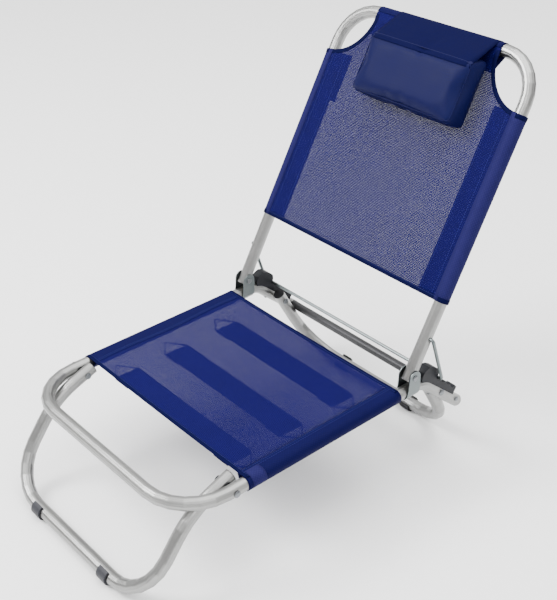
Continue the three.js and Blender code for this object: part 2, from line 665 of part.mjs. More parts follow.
STRAP.fronts.forEach((front, i) => {
  const top = railZ(front) + SLEEVE_R - 2 * GAP;
  const strap = new THREE.BoxGeometry(STRAP.rightEnd - STRAP.leftEnd, STRAP.width, STRAP.thickness);
  strap.rotateX(Math.atan(RAIL_SLOPE));
  const middleX = (STRAP.leftEnd + STRAP.rightEnd) / 2;
  const middleY = front + STRAP.width / 2;
  strap.translate(middleX, middleY, top + (RAIL_SLOPE * STRAP.width) / 2 - STRAP.thickness / 2);
  place(`seat_strap_${STRAP_NAMES[i]}`, strap, "webbing");
  for (const { tag, base, apex } of STRAP_ENDS) {
    const z = top - STRAP.thickness - GAP - HOOK.wire;
    const wire = roundedPath([
      { at: vec(base, middleY - HOOK.slit, z) },
      { at: vec(base, middleY - HOOK.halfBase, z), radius: HOOK.bend },
      { at: vec(apex, middleY, z), radius: HOOK.bend },
      { at: vec(base, middleY + HOOK.halfBase, z), radius: HOOK.bend },
      { at: vec(base, middleY + HOOK.slit, z) },
    ], HOOK_BEND_STEPS);
    place(`strap_hook_${STRAP_NAMES[i]}_${tag}`, tube(wire, HOOK.wire, 0, HOOK.sides), "darkSteel");
  }
});

// ---- Backrest cloth, pillow and flap ----

const backBasis = new THREE.Matrix4().makeBasis(
  vec(1, 0, 0),
  vec(0, Math.sin(RECLINE), Math.cos(RECLINE)),
  vec(0, -Math.cos(RECLINE), Math.sin(RECLINE)),
);

function onBack(geometry) {
  geometry.applyMatrix4(backBasis);
  geometry.translate(0, HINGE.y, HINGE.z);
  return geometry;
}

// Half of the panel's outline, from the bottom middle round to the top: side edge, hollow corner, top.
const PANEL_HALF = [
  [RAIL_X, BACK_CLOTH.bottom], [RAIL_X, BACK_CLOTH.sleeveTop], [190, 456], [168, 467], [151, 482],
  [142, 498], [BACK_CLOTH.topHalf, 515], [BACK_CLOTH.topHalf, BACK_LENGTH],
];

const BORE_OVERRUN = 5;

function backCloth() {
  const left = PANEL_HALF.map(([x, t]) => [-x, t]).reverse();
  const sheet = plate([...PANEL_HALF, ...left], [], FABRIC);
  sheet.translate(0, 0, SLEEVE_R);
  const bodies = [onBack(sheet)];
  for (const { sign } of SIDES) {
    const x = sign * RAIL_X;
    const ends = [backPoint(x, BACK_CLOTH.bottom, 0), backPoint(x, BACK_CLOTH.sleeveTop, 0)];
    bodies.push(tube(ends, SLEEVE_R + FABRIC, 0, SLEEVE_SIDES));
  }
  const bar = [backPoint(-BACK_CLOTH.topHalf, BACK_LENGTH, 0), backPoint(BACK_CLOTH.topHalf, BACK_LENGTH, 0)];
  bodies.push(tube(bar, SLEEVE_R + FABRIC, 0, SLEEVE_SIDES));
  const bores = SIDES.map(({ sign }) => tube([
    backPoint(sign * RAIL_X, BACK_CLOTH.bottom - BORE_OVERRUN, 0),
    backPoint(sign * RAIL_X, BACK_CLOTH.sleeveTop + BORE_OVERRUN, 0),
  ], SLEEVE_R, 0, SLEEVE_SIDES));
  bores.push(tube([
    backPoint(-BACK_CLOTH.topHalf - BORE_OVERRUN, BACK_LENGTH, 0),
    backPoint(BACK_CLOTH.topHalf + BORE_OVERRUN, BACK_LENGTH, 0),
  ], SLEEVE_R, 0, SLEEVE_SIDES));
  return cut(join(bodies), bores);
}

place("backrest_cloth", backCloth(), "mesh");

function pillow() {
  const half = PILLOW.halfWidth - PILLOW.edge;
  const tall = (PILLOW.high - PILLOW.low) / 2 - PILLOW.edge;
  const outline = new THREE.Shape();
  outline.moveTo(-half, -tall);
  outline.lineTo(half, -tall);
  outline.lineTo(half, tall);
  outline.lineTo(-half, tall);
  const solid = new THREE.ExtrudeGeometry(outline, {
    depth: PILLOW.depth - 2 * PILLOW.edge,
    bevelEnabled: true,
    bevelThickness: PILLOW.edge,
    bevelSize: PILLOW.edge,
    bevelSegments: PILLOW.edgeSteps,
    steps: 1,
  });
  solid.translate(PILLOW.x, (PILLOW.high + PILLOW.low) / 2, PILLOW.back + PILLOW.edge);
  return onBack(solid);
}

place("headrest_pillow", pillow(), "cushion");

// Cloth flap that hangs the pillow: behind the top bar, over it and down the front.
function pillowFlap() {
  const inner = SLEEVE_R + FABRIC + GAP;
  const outer = inner + FABRIC;
  const outline = [[inner, FLAP.low], [outer, FLAP.low]];
  const step = (Math.PI / 2 + FLAP.backAngle) / FLAP.steps;
  for (let k = 0; k <= FLAP.steps; k += 1) {
    outline.push([outer * Math.cos(step * k), BACK_LENGTH + outer * Math.sin(step * k)]);
  }
  for (let k = FLAP.steps; k >= 0; k -= 1) {
    outline.push([inner * Math.cos(step * k), BACK_LENGTH + inner * Math.sin(step * k)]);
  }
  const strip = plate(outline, [], 2 * FLAP.halfWidth);
  strip.applyMatrix4(new THREE.Matrix4().makeBasis(vec(0, 0, 1), vec(0, 1, 0), vec(-1, 0, 0)));
  strip.translate(PILLOW.x + FLAP.halfWidth, 0, 0);
  return onBack(strip);
}

place("pillow_flap", pillowFlap(), "webbing");

export default group;
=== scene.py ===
"""Looks of the folding beach lounger: its cloth, pillow, materials and studio. Metres, +Z up."""

import json
import math

import bmesh
import bpy
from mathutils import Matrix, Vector
from mathutils.bvhtree import BVHTree


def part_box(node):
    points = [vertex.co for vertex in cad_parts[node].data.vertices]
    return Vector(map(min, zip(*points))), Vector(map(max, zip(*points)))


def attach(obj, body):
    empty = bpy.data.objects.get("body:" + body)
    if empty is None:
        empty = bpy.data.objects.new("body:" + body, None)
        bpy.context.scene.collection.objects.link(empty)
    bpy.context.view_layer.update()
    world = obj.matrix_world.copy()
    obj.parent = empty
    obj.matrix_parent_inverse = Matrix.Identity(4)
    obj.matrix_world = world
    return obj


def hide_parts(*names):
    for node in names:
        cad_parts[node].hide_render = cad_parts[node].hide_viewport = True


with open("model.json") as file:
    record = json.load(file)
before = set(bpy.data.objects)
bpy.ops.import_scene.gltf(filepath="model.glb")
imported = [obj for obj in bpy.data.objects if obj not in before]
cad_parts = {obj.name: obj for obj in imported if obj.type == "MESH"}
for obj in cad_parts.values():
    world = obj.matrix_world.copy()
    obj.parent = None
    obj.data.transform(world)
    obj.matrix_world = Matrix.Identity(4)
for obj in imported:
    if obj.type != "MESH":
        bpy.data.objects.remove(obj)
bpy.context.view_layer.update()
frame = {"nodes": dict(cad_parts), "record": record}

MM = 0.001
TUBE_R = 11 * MM
RAIL_X = 213.3 * MM
CAD_SLEEVE_R = 12.9 * MM
SEAT_HEM_LEFT = 187 * MM
SEAT_HEM_RIGHT = 197 * MM
SEAT_HEM_WANDER = 2.2 * MM
SEAT_EDGE_HALF = 217 * MM
SEAT_SAG = 1.8 * MM
SEAT_RIPPLE = 0.12
SEAT_RIPPLES = 7
SEAT_HEM_WAVES = 3
BACK_HEM_X = 172 * MM
BACK_SAG = 3.0 * MM
SAG_END = RAIL_X - 12 * MM

# Sheets: the distance of a sheet's middle from a tube's axis, and the thickness of each kind of cloth.
WRAP_R = 11.75 * MM
CLOTH = 0.6 * MM
HEM_CLOTH = 0.9 * MM
UNDER_CLOTH = 0.7 * MM
UNDER_DROP = 0.8 * MM
SEAT_HEM_DROP = 1.3 * MM
BACK_HEM_DROP = 1.5 * MM
FLAT_STEPS = 6

# Binding tape and seams.
TAPE = 8 * MM
TAPE_T = 1.7 * MM
CUFF_T = 1.5 * MM
SEAM_LIFT = 0.45 * MM
TAPE_SEAM_LIFT = 0.95 * MM
TAPE_SEAM_INSET = 1.6 * MM
SEAT_SEAM_INSETS = (3 * MM, 7 * MM)
BACK_SEAM_INSETS = (0 * MM, 26 * MM)


def joint_at(name):
    """Where a joint of the record turns."""
    for joint in frame["record"]["behaviour"]["joints"]:
        if joint["name"] == name:
            return Vector(joint["pos_m"])
    raise KeyError(name)


SEAT_LOW, SEAT_HIGH = (Vector(corner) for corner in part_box("seat_cloth"))
RAIL_FRONT_Z = SEAT_LOW.z + CAD_SLEEVE_R
RAIL_REAR_Z = SEAT_HIGH.z - CAD_SLEEVE_R
HINGE = joint_at("backrest_fold")
BACK_HIGH = Vector(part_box("backrest_tube")[1])
BAR = Vector((0, BACK_HIGH.y - TUBE_R, BACK_HIGH.z - TUBE_R))
BACK_LENGTH = (BAR - HINGE).length
UP = (BAR - HINGE).normalized()
OUT = Vector((0, -UP.z, UP.y))

# Backrest cloth, up the tube from the hinge.
BACK_LOW_T = 131 * MM
SLEEVE_TOP_T = 452 * MM
TOP_HALF = 138 * MM
CUT_TOP_T = 521 * MM
TOP_HEM_T = 498 * MM
TOP_SEAM_INSET = 3 * MM
CUT_FLATNESS = 0.16
SAG_FULLNESS = 0.6


def back(x, t, n):
    """A point on the backrest: t up the tube from the hinge, n out of the front face."""
    return HINGE + Vector((x, 0, 0)) + UP * t + OUT * n


def rail_z(y):
    share = (y - SEAT_LOW.y) / (SEAT_HIGH.y - SEAT_LOW.y)
    return RAIL_FRONT_Z + share * (RAIL_REAR_Z - RAIL_FRONT_Z)


def spread(low, high, count):
    return [low + (high - low) * k / (count - 1) for k in range(count)]


# ---- Mesh helpers ----


def finish_mesh(obj, material, smooth=True):
    obj.data.materials.clear()
    obj.data.materials.append(material)
    for face in obj.data.polygons:
        face.use_smooth = smooth
    return obj


def new_object(name, bm, material, smooth=True):
    mesh = bpy.data.meshes.new(name)
    bmesh.ops.recalc_face_normals(bm, faces=bm.faces)
    bm.to_mesh(mesh)
    bm.free()
    obj = bpy.data.objects.new(name, mesh)
    bpy.context.scene.collection.objects.link(obj)
    return finish_mesh(obj, material, smooth)


def cloth_sheet(name, rows, material, thickness=CLOTH):
    """A thin closed sheet over a grid of points, with its UV map in metres along the weave."""
    ups, vps = [0.0], [0.0]
    middle = rows[len(rows) // 2]
    for a, b in zip(middle, middle[1:]):
        ups.append(ups[-1] + (b - a).length)
    centre = len(middle) // 2
    for a, b in zip(rows, rows[1:]):
        vps.append(vps[-1] + (b[centre] - a[centre]).length)
    normals = []
    for i, row in enumerate(rows):
        before, after = rows[max(0, i - 1)], rows[min(len(rows) - 1, i + 1)]
        line = []
        for k in range(len(row)):
            along = row[min(len(row) - 1, k + 1)] - row[max(0, k - 1)]
            across = after[k] - before[k]
            line.append(along.cross(across).normalized())
        normals.append(line)
    bm = bmesh.new()
    layer = bm.loops.layers.uv.new("UVMap")
    sides = []
    for sign in (1, -1):
        sides.append([
            [bm.verts.new(p + normals[i][k] * sign * thickness / 2) for k, p in enumerate(row)]
            for i, row in enumerate(rows)
        ])
    spots = {}
    for side in sides:
        for i, line in enumerate(side):
            for k, vert in enumerate(line):
                spots[vert] = (ups[k], vps[i])
    last_i, last_k = len(rows) - 1, len(rows[0]) - 1
    quads = []
    for i in range(last_i):
        for k in range(last_k):
            for side in sides:
                quads.append((side[i][k], side[i][k + 1], side[i + 1][k + 1], side[i + 1][k]))
    top, under = sides
    for i in range(last_i):
        for k in (0, last_k):
            quads.append((top[i][k], top[i + 1][k], under[i + 1][k], under[i][k]))
    for k in range(last_k):
        for i in (0, last_i):
            quads.append((top[i][k], top[i][k + 1], under[i][k + 1], under[i][k]))
    for quad in quads:
        face = bm.faces.new(quad)
        for loop in face.loops:
            loop[layer].uv = spots[loop.vert]
    return new_object(name, bm, material)


def swept(name, path, section, material, closed=False):
    """A solid swept along path; section(k) gives the ring of offsets from the k-th point."""
    bm = bmesh.new()
    rings = [[bm.verts.new(p + o) for o in section(k)] for k, p in enumerate(path)]
    pairs = list(zip(rings, rings[1:]))
    if closed:
        pairs.append((rings[-1], rings[0]))
    size = len(rings[0])
    for a, b in pairs:
        for j in range(size):
            bm.faces.new((a[j], a[(j + 1) % size], b[(j + 1) % size], b[j]))
    if not closed:
        bm.faces.new(rings[0])
        bm.faces.new(list(reversed(rings[-1])))
    return new_object(name, bm, material)


def round_cord(name, path, radius, material, closed=False, sides=8):
    """A round cord along a path."""
    count = len(path)

    def section(k):
        after = path[(k + 1) % count] if closed else path[min(count - 1, k + 1)]
        before = path[k - 1] if closed else path[max(0, k - 1)]
        along = (after - before).normalized()
        one = along.orthogonal().normalized() if k == 0 else section.last
        one = (one - along * one.dot(along)).normalized()
        section.last = one
        two = along.cross(one)
        turns = [2 * math.pi * j / sides for j in range(sides)]
        return [one * math.cos(a) * radius + two * math.sin(a) * radius for a in turns]

    return swept(name, path, section, material, closed)


def tape_along(name, path, across, up, width, thickness, material):
    """A flat tape with rounded edges: across and up give its own axes at each point."""

    def section(k):
        half, high = width / 2, thickness / 2
        quarter = [(1.0, 0.0), (0.9, 0.8), (0.5, 1.0)]
        upper = quarter + [(-a, b) for a, b in reversed(quarter)]
        ring = upper + [(a, -b) for a, b in reversed(upper[1:-1])]
        return [across(k) * half * a + up(k) * high * b for a, b in ring]

    return swept(name, path, section, material)


def stitch_line(name, path, up, material, pitch=4.2 * MM, length=2.9 * MM, radius=0.42 * MM):
    """A row of short raised stitches along a path, as one piece."""
    lengths = [0.0]
    for a, b in zip(path, path[1:]):
        lengths.append(lengths[-1] + (b - a).length)

    def spot(s):
        for k in range(len(path) - 1):
            if s <= lengths[k + 1] or k == len(path) - 2:
                return path[k].lerp(path[k + 1], (s - lengths[k]) / (lengths[k + 1] - lengths[k]))

    bm = bmesh.new()
    count = int(lengths[-1] / pitch)
    for j in range(count):
        s = (j + 0.5) * pitch
        a, b = spot(s - length / 2), spot(s + length / 2)
        along = (b - a).normalized()
        side = along.cross(up).normalized()
        rings = []
        for share, size in ((0.0, 0.35), (0.25, 1.0), (0.75, 1.0), (1.0, 0.35)):
            middle = a.lerp(b, share)
            rings.append([
                bm.verts.new(middle + (side * math.cos(t) + up * math.sin(t)) * radius * size)
                for t in (k * math.pi / 3 for k in range(6))
            ])
        for one, two in zip(rings, rings[1:]):
            for k in range(6):
                bm.faces.new((one[k], one[(k + 1) % 6], two[(k + 1) % 6], two[k]))
        bm.faces.new(rings[0])
        bm.faces.new(list(reversed(rings[-1])))
    return new_object(name, bm, material)


# ---- Materials ----


class Nodes:
    """Small helper that adds shader nodes and wires values or sockets into them."""

    def __init__(self, name):
        self.material = bpy.data.materials.new(name)
        self.material.use_nodes = True
        self.tree = self.material.node_tree
        self.shader = self.tree.nodes["Principled BSDF"]

    def add(self, kind, inputs=None, **settings):
        node = self.tree.nodes.new(kind)
        for key, value in settings.items():
            setattr(node, key, value)
        for key, value in (inputs or {}).items():
            self.feed(node.inputs[key], value)
        return node

    def feed(self, socket, value):
        if isinstance(value, bpy.types.NodeSocket):
            self.tree.links.new(value, socket)
        else:
            socket.default_value = value

    def maths(self, operation, a, b=0.0):
        return self.add("ShaderNodeMath", {0: a, 1: b}, operation=operation).outputs[0]

    def noise(self, vector, scale, detail=3.0, roughness=0.5):
        inputs = {"Vector": vector, "Scale": scale, "Detail": detail, "Roughness": roughness}
        return self.add("ShaderNodeTexNoise", inputs).outputs["Fac"]

    def span(self, value, low, high):
        inputs = {"Value": value, "To Min": low, "To Max": high}
        return self.add("ShaderNodeMapRange", inputs).outputs["Result"]

    def mix(self, share, a, b):
        node = self.add("ShaderNodeMix", data_type="RGBA")
        self.feed(node.inputs[0], share)
        self.feed(node.inputs[6], a)
        self.feed(node.inputs[7], b)
        return node.outputs[2]

    def where(self):
        return self.add("ShaderNodeTexCoord").outputs["Object"]

    def bump(self, height, strength, distance, normal=None):
        inputs = {"Height": height, "Strength": strength, "Distance": distance}
        if normal is not None:
            inputs["Normal"] = normal
        return self.add("ShaderNodeBump", inputs).outputs["Normal"]

    def shade(self, **values):
        for key, value in values.items():
            self.feed(self.shader.inputs[key.replace("_", " ")], value)
        return self.material


def rgb(r, g, b):
    return (r, g, b, 1.0)


def metal(name, light, dark, roughness, grain_scale, metallic=1.0, rounding=3.6 * MM):
    """Bare or plated metal: cloudy tone, fine grain and slightly worn, uneven gloss."""
    n = Nodes(name)
    where = n.where()
    cloud = n.noise(where, 22.0, 4.0, 0.6)
    grain = n.noise(where, grain_scale, 2.0)
    rounded = n.add("ShaderNodeBevel", {"Radius": rounding}, samples=6).outputs["Normal"]
    tone = n.mix(cloud, dark, light)
    gloss = n.span(n.maths("ADD", n.maths("MULTIPLY", cloud, 0.6), n.maths("MULTIPLY", grain, 0.4)),
                   roughness - 0.08, roughness + 0.12)
    return n.shade(Base_Color=tone, Metallic=metallic, Roughness=gloss,
                   Normal=n.bump(grain, 0.12, 0.0003, rounded))


def moulded(name, colour, worn, roughness):
    """Moulded plastic with a fine spark grain and paler, rubbed patches."""
    n = Nodes(name)
    where = n.where()
    grain = n.noise(where, 900.0, 2.0)
    patch = n.noise(where, 45.0, 3.0)
    tone = n.mix(n.span(patch, -0.2, 0.75), colour, worn)
    return n.shade(Base_Color=tone, Roughness=n.span(grain, roughness - 0.1, roughness + 0.1),
                   Specular_IOR_Level=0.2, Normal=n.bump(grain, 0.25, 0.0002))


def weave(n, pitch):
    """Height and hole amount of a plain weave, from the UV map in metres."""
    split = n.add("ShaderNodeSeparateXYZ", {"Vector": n.add("ShaderNodeTexCoord").outputs["UV"]})
    turns = math.pi / pitch
    u = n.maths("MULTIPLY", split.outputs["X"], turns)
    v = n.maths("MULTIPLY", split.outputs["Y"], turns)
    across = n.maths("ABSOLUTE", n.maths("SINE", u))
    along = n.maths("ABSOLUTE", n.maths("SINE", v))
    hole = n.maths("MULTIPLY", across, along)
    checker = n.maths("MULTIPLY", n.maths("SINE", u), n.maths("SINE", v))
    return hole, checker


def mesh_cloth(name, thread, lit, cover, openness, pitch=2.5 * MM):
    """Open PVC-coated mesh: woven threads with see-through holes between them."""
    n = Nodes(name)
    hole, checker = weave(n, pitch)
    cloud = n.noise(n.where(), 30.0, 3.0)
    tone = n.mix(n.span(checker, 0.15, 0.85), thread, lit)
    tone = n.mix(n.span(cloud, -0.15, 0.5), tone, lit)
    gap = n.add("ShaderNodeMapRange", {"Value": hole, "From Min": 0.3, "From Max": 0.75,
                                      "To Min": cover, "To Max": openness}).outputs["Result"]
    return n.shade(Base_Color=tone, Alpha=gap, Roughness=n.span(cloud, 0.5, 0.7),
                   Specular_IOR_Level=0.04, Normal=n.bump(checker, 0.2, 0.0003))


def solid_cloth(name, dark, light, pitch, roughness, bump=0.3, gloss=0.07):
    """Close-woven cloth, tape or webbing."""
    n = Nodes(name)
    where = n.where()
    split = n.add("ShaderNodeSeparateXYZ", {"Vector": where})
    turns = math.pi / pitch
    waves = [n.maths("SINE", n.maths("MULTIPLY", split.outputs[axis], turns)) for axis in ("X", "Y", "Z")]
    thread = n.maths("MULTIPLY", waves[0], n.maths("ADD", waves[1], waves[2]))
    cloud = n.noise(where, 26.0, 3.0)
    tone = n.mix(n.span(thread, 0.2, 0.8), dark, light)
    tone = n.mix(n.span(cloud, -0.1, 0.4), tone, light)
    return n.shade(Base_Color=tone, Roughness=n.span(cloud, roughness - 0.08, roughness + 0.08),
                   Specular_IOR_Level=gloss, Normal=n.bump(thread, bump, 0.0003))


THIN_EDGE = 0.6 * MM
WIRE_EDGE = 0.3 * MM

ALUMINIUM = metal("anodised_aluminium", rgb(0.35, 0.35, 0.345), rgb(0.225, 0.225, 0.22), 0.30, 420.0)
ZINC = metal("galvanised_steel", rgb(0.20, 0.225, 0.225), rgb(0.09, 0.105, 0.11), 0.32, 160.0,
             rounding=THIN_EDGE)
RIVET = metal("plain_rivet", rgb(0.24, 0.25, 0.26), rgb(0.12, 0.13, 0.14), 0.34, 300.0, rounding=THIN_EDGE)
# The cross tube is aluminium like the other tubes; its near-black colour is painted shade, standing in for the
# shade it lies in at the rear.
CROSS_TUBE_PAINTED_SHADE = metal("cross_tube_painted_shade", rgb(0.06, 0.06, 0.062), rgb(0.03, 0.03, 0.033), 0.42, 240.0, 0.6)
WIRE_BLACK = metal("black_wire", rgb(0.012, 0.012, 0.03), rgb(0.006, 0.006, 0.015), 0.5, 240.0, 0.3, WIRE_EDGE)
CHARCOAL = moulded("charcoal_plastic", rgb(0.0055, 0.0058, 0.008), rgb(0.017, 0.018, 0.023), 0.5)
CLIP_GREY = moulded("clip_grey_plastic", rgb(0.021, 0.0215, 0.026), rgb(0.045, 0.046, 0.054), 0.48)
BLACK = moulded("black_plastic", rgb(0.005, 0.005, 0.006), rgb(0.02, 0.02, 0.022), 0.5)
NYLON = moulded("natural_nylon", rgb(0.68, 0.66, 0.6), rgb(0.8, 0.79, 0.74), 0.45)
MESH = mesh_cloth("blue_mesh", rgb(0.0026, 0.0018, 0.044), rgb(0.0056, 0.0038, 0.072), 0.97, 0.62)
HEM = mesh_cloth("blue_mesh_doubled", rgb(0.0016, 0.0015, 0.029), rgb(0.0036, 0.0034, 0.045), 1.0, 0.985)
# The sleeve mesh over the tubes gets paler, greyer colours as a painted highlight: the shine of the tube
# through the holes and of the threads on its curve is painted into the cloth.
SLEEVE_PAINTED_HIGHLIGHT = mesh_cloth("blue_mesh_sleeve_painted_highlight", rgb(0.0080, 0.0072, 0.050), rgb(0.016, 0.0145, 0.080), 1.0, 0.95)
TAPE_CLOTH = solid_cloth("navy_binding", rgb(0.0010, 0.0012, 0.020), rgb(0.0022, 0.0025, 0.034), pitch=1.1 * MM,
                         roughness=0.66, gloss=0.03)
WEBBING = solid_cloth("navy_webbing", rgb(0.0009, 0.0007, 0.017), rgb(0.0020, 0.0015, 0.029), pitch=1.9 * MM,
                      roughness=0.75, bump=0.5, gloss=0.02)
# The stitching thread's pale blue is partly the thread's own colour and partly painted highlight, standing in
# for the shine along the folds of the sleeve.
THREAD_AND_PAINTED_HIGHLIGHT = solid_cloth("navy_thread_and_painted_highlight", rgb(0.012, 0.013, 0.085), rgb(0.024, 0.026, 0.14),
                     pitch=0.8 * MM, roughness=0.6)
PILLOW_CLOTH = solid_cloth("pillow_polyester", rgb(0.0018, 0.0024, 0.029), rgb(0.0032, 0.0042, 0.046),
                           pitch=0.9 * MM, roughness=0.5, bump=0.14, gloss=0.08)

LOOKS = [
    (("_rivet",), RIVET),
    (("_screw",), RIVET),
    (("hinge_bracket", "stay_wire"), ZINC),
    (("ratchet_left", "ratchet_right"), CHARCOAL),
    (("front_foot",), CLIP_GREY),
    (("rear_foot", "_washer", "leg_plug"), BLACK),
    (("hinge_bush",), NYLON),
    (("strap_hook",), WIRE_BLACK),
    # The cross tube's dark colour is painted shade.
    (("cross_tube",), CROSS_TUBE_PAINTED_SHADE),
    (("_tube", "seat_end_plug"), ALUMINIUM),
]


def look_of(node):
    for words, material in LOOKS:
        if any(word in node for word in words):
            return material
    return ALUMINIUM


for node_name, node_object in frame["nodes"].items():
    node_object.data.materials.clear()
    node_object.data.materials.append(look_of(node_name))


# ---- Seat ----


def seat_sag(x, y):
    """How far the seat sheet hangs below the tops of the rails."""
    across = 1 - min(1.0, (x / SAG_END) ** 2)
    share = (y - SEAT_LOW.y) / (SEAT_HIGH.y - SEAT_LOW.y)
    ripple = SEAT_RIPPLE * math.sin(SEAT_RIPPLES * math.pi * share)
    return SEAT_SAG * across * (1 + ripple)


def seat_point(x, y, drop=0.0):
    return Vector((x, y, rail_z(y) + WRAP_R - seat_sag(x, y) - drop))


def tangent_angle(dx, dz, radius):
    """Angle on a circle at the origin of the tangent from (dx, dz) that passes under it."""
    reach = math.hypot(dx, dz)
    return math.atan2(dz, dx) % (2 * math.pi) + math.acos(radius / reach)


def wrap_section(hem, end_n, radius, steps=18):
    """Section of a sleeve from its hem over the tube, round it and back under to the hem.

    Gives (x, n) for the right side, n being out from the tube's middle.
    """
    points = [(x, radius) for x in spread(hem, RAIL_X, FLAT_STEPS)]
    last = tangent_angle(hem - RAIL_X, end_n, radius) - 2 * math.pi
    for a in spread(math.pi / 2, last, steps)[1:]:
        points.append((RAIL_X + radius * math.cos(a), radius * math.sin(a)))
    tail = points[-1]
    for share in spread(0, 1, FLAT_STEPS)[1:]:
        points.append((tail[0] + (hem - tail[0]) * share, tail[1] + (end_n - tail[1]) * share))
    return points


def underside_share(k, count):
    """How much of the sheet's sag the k-th point of a sleeve's section takes on its way back to the hem."""
    return max(0.0, (k - count + FLAT_STEPS) / (FLAT_STEPS - 1))


def seat_hem(sign, y):
    """How far the inner edge of a side hem lies from the middle; the left one wanders a little."""
    if sign > 0:
        return SEAT_HEM_RIGHT
    share = (y - SEAT_LOW.y) / (SEAT_HIGH.y - SEAT_LOW.y)
    return SEAT_HEM_LEFT + SEAT_HEM_WANDER * math.sin(SEAT_HEM_WAVES * math.pi * share)


seat_ys = spread(SEAT_LOW.y, SEAT_HIGH.y, 26)
seat_panel = cloth_sheet(
    "seat_panel",
    [[seat_point(x, y) for x in spread(-seat_hem(-1, y), seat_hem(1, y), 37)] for y in seat_ys],
    MESH,
)
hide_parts("seat_cloth")

seat_pieces = []
for tag, sign in (("left", -1), ("right", 1)):
    rows = []
    for y in seat_ys:
        row = []
        section = wrap_section(seat_hem(sign, y), WRAP_R - SEAT_HEM_DROP, WRAP_R)
        for k, (x, n) in enumerate(section):
            fade = 1.0 if k < FLAT_STEPS else underside_share(k, len(section))
            row.append(Vector((sign * x, y, rail_z(y) + n - seat_sag(x, y) * fade)))
        rows.append(row)
    sleeve = cloth_sheet(f"seat_sleeve_{tag}", rows, HEM, HEM_CLOTH)
    seat_pieces.append(sleeve)
    for inset in SEAT_SEAM_INSETS:
        line = [seat_point(sign * (seat_hem(sign, y) + inset), y, -SEAM_LIFT) for y in seat_ys]
        seam = stitch_line(f"seat_seam_{tag}_{round(inset / MM)}", line, Vector((0, 0, 1)), THREAD_AND_PAINTED_HIGHLIGHT)
        seat_pieces.append(seam)

for tag, y_edge, inward in (("front", SEAT_LOW.y, 1), ("rear", SEAT_HIGH.y, -1)):
    xs = spread(-SEAT_EDGE_HALF, SEAT_EDGE_HALF, 41)
    middle_y = y_edge + inward * TAPE / 2
    path = [seat_point(x, middle_y) for x in xs]
    hem = tape_along(f"seat_edge_{tag}", path, lambda k: Vector((0, 1, 0)), lambda k: Vector((0, 0, 1)),
                     TAPE, TAPE_T, TAPE_CLOTH)
    seat_pieces.append(hem)
    line = [seat_point(x, y_edge + inward * (TAPE - TAPE_SEAM_INSET), -TAPE_SEAM_LIFT) for x in xs]
    seat_pieces.append(stitch_line(f"seat_edge_seam_{tag}", line, Vector((0, 0, 1)), THREAD_AND_PAINTED_HIGHLIGHT))

# A strip of the paler sleeve mesh laid over the top of the right seat rail near the front, as a painted
# highlight on the sleeve there.
HIGHLIGHT_PATCH_SECTION = wrap_section(SEAT_HEM_RIGHT, WRAP_R, WRAP_R + HEM_CLOTH)[2:13]
HIGHLIGHT_PATCH_END = 34 * MM
highlight_patch_ys = spread(SEAT_LOW.y + TAPE, SEAT_LOW.y + HIGHLIGHT_PATCH_END, 6)
highlight_patch_rows = [[Vector((x, y, rail_z(y) + n)) for x, n in HIGHLIGHT_PATCH_SECTION] for y in highlight_patch_ys]
seat_pieces.append(cloth_sheet("seat_highlight_patch_right", highlight_patch_rows, SLEEVE_PAINTED_HIGHLIGHT))

STRAP_T = 1.0 * MM
STRAP_TAIL = 34 * MM
STRAP_RISE = 16 * MM
STRAP_GAP = 0.2 * MM
STRAP_ROWS = 7


def strap_end(bar_x, bar_z, wrap, outward):
    """Where a strap turns round a hook's bar and runs back under itself, as (x, z)."""
    loop = [(bar_x + outward * wrap * math.cos(a), bar_z + wrap * math.sin(a))
            for a in spread(math.pi / 2, -math.pi / 2, 9)]
    tail = [(bar_x - outward * STRAP_TAIL * s, bar_z - wrap) for s in spread(0.2, 1, 5)]
    return loop + tail


def strap_row(y, left_x, right_x, bar_z, wrap):
    """A strap's line at one depth, from its left tail over the top to its right tail."""
    top = []
    for x in spread(left_x + STRAP_RISE / 2, right_x - STRAP_RISE / 2, 25):
        z = seat_point(x, y, CLOTH / 2 + STRAP_T / 2 + STRAP_GAP).z
        near_end = min(x - left_x, right_x - x) < STRAP_RISE
        top.append((x, max(z, bar_z + wrap) if near_end else z))
    left = strap_end(left_x, bar_z, wrap, -1)
    right = strap_end(right_x, bar_z, wrap, 1)
    return [Vector((x, y, z)) for x, z in left[::-1] + top + right]


straps = []
for part in ("front", "middle", "rear"):
    low, high = (Vector(corner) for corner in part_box(f"seat_strap_{part}"))
    left_high = Vector(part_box(f"strap_hook_{part}_left")[1])
    right_low, right_high = (Vector(corner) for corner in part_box(f"strap_hook_{part}_right"))
    wire = (right_high.z - right_low.z) / 2
    bar_z = (right_high.z + right_low.z) / 2
    wrap = wire + STRAP_GAP + STRAP_T / 2
    left_x, right_x = left_high.x - wire, right_low.x + wire
    rows = [strap_row(y, left_x, right_x, bar_z, wrap) for y in spread(low.y, high.y, STRAP_ROWS)]
    strap = cloth_sheet(f"strap_{part}", rows, WEBBING, STRAP_T)
    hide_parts(f"seat_strap_{part}")
    middle_row = rows[STRAP_ROWS // 2]
    length = sum((b - a).length for a, b in zip(middle_row, middle_row[1:]))
    straps.append((strap, part, high.y - low.y, length))


# ---- Backrest ----


def back_half_width(t):
    """Half width of the backrest cloth at height t: full, then a hollow corner, then the top sleeve."""
    if t <= SLEEVE_TOP_T:
        return RAIL_X
    if t >= CUT_TOP_T:
        return TOP_HALF
    turn = math.acos((CUT_TOP_T - t) / (CUT_TOP_T - SLEEVE_TOP_T))
    curved = RAIL_X - (RAIL_X - TOP_HALF) * math.sin(turn)
    straight = RAIL_X - (RAIL_X - TOP_HALF) * (t - SLEEVE_TOP_T) / (CUT_TOP_T - SLEEVE_TOP_T)
    return curved + (straight - curved) * CUT_FLATNESS


